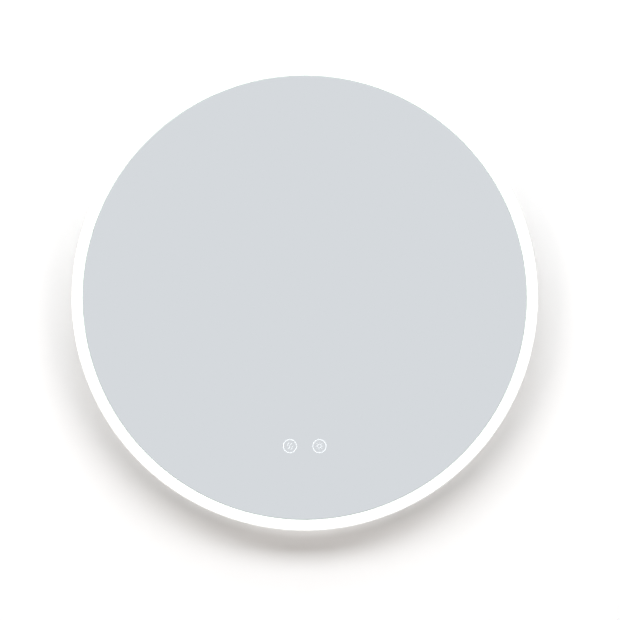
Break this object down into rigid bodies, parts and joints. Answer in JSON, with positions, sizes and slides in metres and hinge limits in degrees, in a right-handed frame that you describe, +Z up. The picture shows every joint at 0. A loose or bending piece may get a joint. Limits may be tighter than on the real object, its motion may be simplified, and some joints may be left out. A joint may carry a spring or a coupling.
{
  "type": "lighted bathroom mirror",
  "caption": "Round frameless wall mirror with a lit opal rim, touch signs for the light and the demister, hung on a hidden hook rail.",
  "frame": {"origin": "middle of the line through the wall screws, on the wall plane", "axes": "+Z up, +X to the right of a user who looks at the glass, +Y into the wall; the glass faces -Y"},
  "size_m": [0.5999, 0.044, 0.6],
  "materials": {
    "mirror": "silvered float glass",
    "safety_film": "grey film",
    "foam_tape": "white foam tape",
    "opal_acrylic": "opal, translucent, matt",
    "channel_aluminium": "mill finish, rolled",
    "lamp_tape": "white flexible circuit",
    "lamp_package": "phosphor yellow",
    "coated_steel": "white powder coat",
    "zinc_steel": "bright zinc plate",
    "rail_steel": "galvanised",
    "bumper_rubber": "matt",
    "grommet_rubber": "satin",
    "gasket_foam": "closed-cell foam",
    "white_plastic": "moulded, fine texture",
    "black_plastic": "moulded, fine texture",
    "natural_plastic": "natural polyamide",
    "terminal_brass": "plain",
    "circuit_board": "green solder mask",
    "board_parts": "wound and moulded parts",
    "potting": "potted box",
    "heater_film": "polyester film",
    "heater_foil": "copper foil",
    "clear_acrylic": "clear",
    "mains_sheath": "white sheath",
    "low_voltage_sheath": "black sheath",
    "earth_sheath": "green and yellow"
  },
  "bodies": {
    "wall_bracket": {"wall_cleat": "rail_steel"},
    "mirror": {"mirror_glass": "mirror", "safety_film": "safety_film", "glass_tape_pads": "foam_tape", "diffuser_ring": "opal_acrylic", "led_channel": "channel_aluminium", "led_tape": "lamp_tape", "led_packages": "lamp_package", "back_pan": "coated_steel", "pan_screws": "zinc_steel", "wall_bumpers": "bumper_rubber", "hanger_rail": "rail_steel", "hanger_rivets": "zinc_steel", "terminal_tray": "white_plastic", "terminal_block": "natural_plastic", "terminal_clamps": "terminal_brass", "terminal_screws": "zinc_steel", "cord_clamp": "black_plastic", "cord_clamp_screws": "zinc_steel", "service_gasket": "gasket_foam", "service_cover": "coated_steel", "cover_screws": "zinc_steel", "cable_grommet": "grommet_rubber", "earth_stud": "zinc_steel", "earth_tag": "terminal_brass", "earth_nut": "zinc_steel", "driver_case": "white_plastic", "driver_lid": "white_plastic", "driver_screws": "zinc_steel", "driver_board": "circuit_board", "driver_components": "board_parts", "control_module": "potting", "demister_pad": "heater_film", "demister_terminals": "heater_foil", "demister_touch_housing": "black_plastic", "demister_touch_lens": "clear_acrylic", "demister_touch_board": "circuit_board", "light_touch_housing": "black_plastic", "light_touch_lens": "clear_acrylic", "light_touch_board": "circuit_board", "mains_lead": "mains_sheath", "heater_feed_lead": "mains_sheath", "driver_lead": "low_voltage_sheath", "light_tape_lead": "low_voltage_sheath", "demister_touch_lead": "low_voltage_sheath", "light_touch_lead": "low_voltage_sheath", "heater_lead": "low_voltage_sheath", "earth_wire": "earth_sheath", "lead_clips": "natural_plastic"}
  },
  "joints": [
    {"name": "lift_off", "type": "slide", "parent": "wall_bracket", "child": "mirror", "axis": [0, 0, 1], "range_m": [0, 0.014]}
  ]
}
